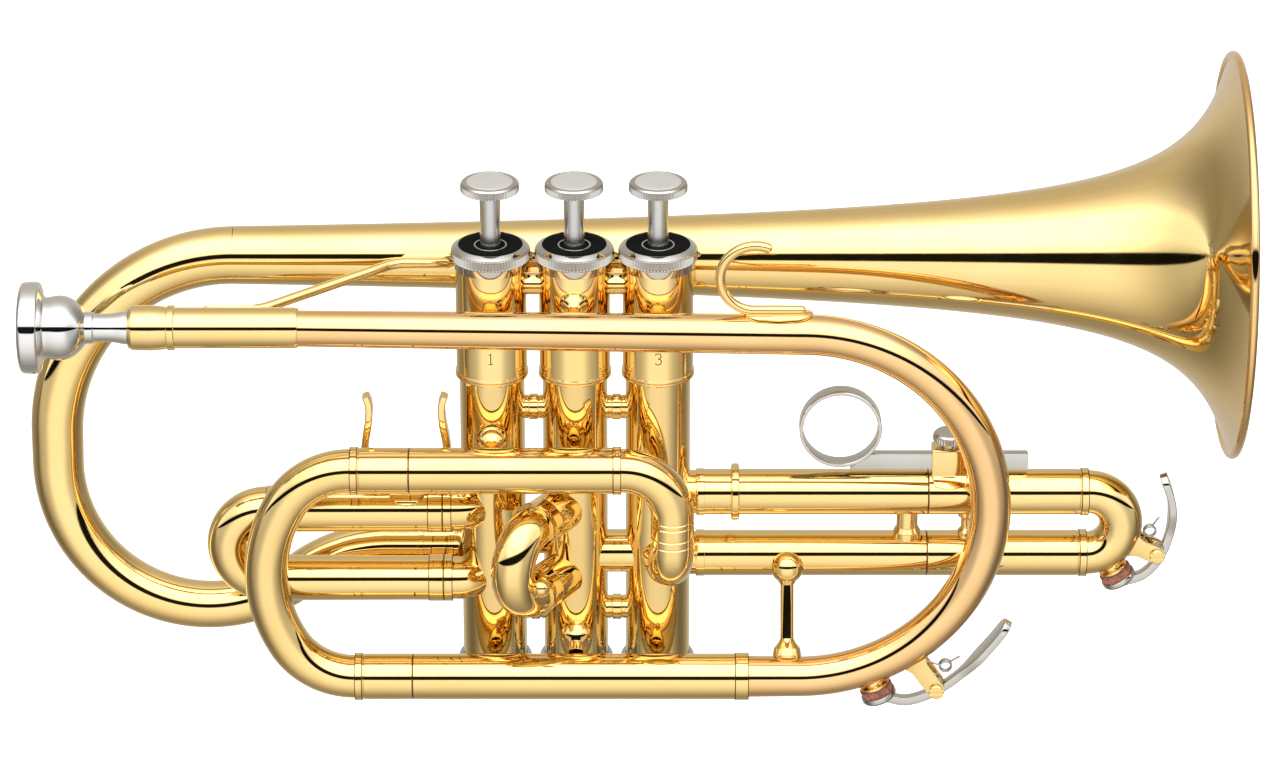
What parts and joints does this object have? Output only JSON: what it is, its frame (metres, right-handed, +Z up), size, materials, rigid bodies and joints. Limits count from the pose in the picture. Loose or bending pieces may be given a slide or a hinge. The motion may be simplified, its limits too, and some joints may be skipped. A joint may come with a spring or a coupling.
{
  "type": "cornet",
  "caption": "Three-valve cornet: conical bell and rear bow, leadpipe with D-shaped front crook, sliding valve slides, finger ring, water keys and mouthpiece.",
  "frame": {"origin": "on the axis of the second valve, at the grip of the valve block", "axes": "+X towards the bell mouth, +Z up along the valves, +Y to the player's left, the bell side"},
  "size_m": [0.3527, 0.119, 0.185],
  "materials": {
    "lacquered_brass": "clear-lacquered yellow brass, mirror polished",
    "gold_brass": "clear-lacquered gold brass, slightly redder, mirror polished",
    "nickel": "polished nickel silver",
    "satin_nickel": "satin nickel silver",
    "piston_metal": "finely honed nickel alloy",
    "silver_plate": "silver plate, mirror polished",
    "felt": "black wool felt",
    "cork": "red-brown cork",
    "spring_steel": "drawn spring steel",
    "guide_plastic": "ivory nylon"
  },
  "bodies": {
    "horn": {"bell_flare": "lacquered_brass", "bell_stem": "lacquered_brass", "bell_rim_wire": "lacquered_brass", "tube_ferrules": "lacquered_brass", "mouthpiece_receiver": "lacquered_brass", "leadpipe": "gold_brass", "tuning_outer_tubes": "lacquered_brass", "valve_elbow": "lacquered_brass", "valve_casing_1": "lacquered_brass", "valve_casing_2": "lacquered_brass", "valve_casing_3": "lacquered_brass", "intervalve_tubes": "lacquered_brass", "casing_spacers": "lacquered_brass", "top_caps": "nickel", "bottom_caps": "nickel", "cap_felts": "felt", "valve_guides": "guide_plastic", "valve_spring_1": "spring_steel", "valve_spring_2": "spring_steel", "valve_spring_3": "spring_steel", "first_slide_inner_tubes": "lacquered_brass", "second_slide_tubes": "lacquered_brass", "third_slide_tubes": "lacquered_brass", "tube_braces": "lacquered_brass", "bell_brace": "lacquered_brass", "finger_hook": "lacquered_brass", "crook_key_mount": "lacquered_brass", "crook_key_spring": "spring_steel"},
    "valve_1": {"piston_1": "piston_metal", "valve_stem_1": "satin_nickel", "finger_button_1": "nickel", "button_inlay_1": "satin_nickel"},
    "valve_2": {"piston_2": "piston_metal", "valve_stem_2": "satin_nickel", "finger_button_2": "nickel", "button_inlay_2": "satin_nickel"},
    "valve_3": {"piston_3": "piston_metal", "valve_stem_3": "satin_nickel", "finger_button_3": "nickel", "button_inlay_3": "satin_nickel"},
    "tuning_slide": {"tuning_slide_bow": "lacquered_brass", "tuning_slide_legs": "lacquered_brass"},
    "first_slide": {"first_slide_bow": "lacquered_brass", "first_slide_sleeves": "lacquered_brass", "thumb_saddle": "lacquered_brass"},
    "second_slide": {"second_slide_bow": "lacquered_brass", "second_slide_legs": "lacquered_brass"},
    "third_slide": {"third_slide_bow": "lacquered_brass", "third_slide_legs": "lacquered_brass", "third_slide_brace": "lacquered_brass", "ring_holder": "lacquered_brass", "slide_key_mount": "lacquered_brass", "slide_key_spring": "spring_steel"},
    "finger_ring": {"finger_ring": "nickel"},
    "ring_screw": {"ring_thumbscrew": "nickel"},
    "mouthpiece": {"mouthpiece": "silver_plate"},
    "crook_key": {"crook_key": "nickel", "crook_key_cork": "cork"},
    "slide_key": {"slide_key": "nickel", "slide_key_cork": "cork"}
  },
  "joints": [
    {"name": "valve_1_press", "type": "slide", "parent": "horn", "child": "valve_1", "axis": [0, 0, -1], "range_m": [0, 0.016], "stiffness_N_per_m": 180, "springref_m": -0.012, "deforming": ["valve_spring_1"]},
    {"name": "valve_2_press", "type": "slide", "parent": "horn", "child": "valve_2", "axis": [0, 0, -1], "range_m": [0, 0.016], "stiffness_N_per_m": 180, "springref_m": -0.012, "deforming": ["valve_spring_2"]},
    {"name": "valve_3_press", "type": "slide", "parent": "horn", "child": "valve_3", "axis": [0, 0, -1], "range_m": [0, 0.016], "stiffness_N_per_m": 180, "springref_m": -0.012, "deforming": ["valve_spring_3"]},
    {"name": "tuning_slide_pull", "type": "slide", "parent": "horn", "child": "tuning_slide", "axis": [-1, 0, 0], "range_m": [0, 0.03]},
    {"name": "first_slide_pull", "type": "slide", "parent": "horn", "child": "first_slide", "axis": [-1, 0, 0], "range_m": [0, 0.02]},
    {"name": "second_slide_pull", "type": "slide", "parent": "horn", "child": "second_slide", "axis": [-0.5446, -0.8387, 0], "range_m": [0, 0.004]},
    {"name": "third_slide_pull", "type": "slide", "parent": "horn", "child": "third_slide", "axis": [1, 0, 0], "range_m": [0, 0.025]},
    {"name": "finger_ring_shift", "type": "slide", "parent": "third_slide", "child": "finger_ring", "axis": [1, 0, 0], "range_m": [-0.01, 0.012]},
    {"name": "ring_screw_turn", "type": "hinge", "parent": "third_slide", "child": "ring_screw", "pos_m": [0.1091, 0, 0.005], "axis": [0, 0, 1], "range_deg": [0, 180]},
    {"name": "mouthpiece_pull", "type": "slide", "parent": "horn", "child": "mouthpiece", "axis": [-1, 0, 0], "range_m": [0, 0.035]},
    {"name": "crook_key_press", "type": "hinge", "parent": "horn", "child": "crook_key", "pos_m": [0.1055, -0.0195, -0.0656], "axis": [0, -1, 0], "range_deg": [0, 10], "stiffness_Nm_per_rad": 0.03, "springref_deg": -20.05},
    {"name": "slide_key_press", "type": "hinge", "parent": "third_slide", "child": "slide_key", "pos_m": [0.1705, 0, -0.0312], "axis": [0, -1, 0], "range_deg": [0, 10], "stiffness_Nm_per_rad": 0.03, "springref_deg": -20.05}
  ]
}
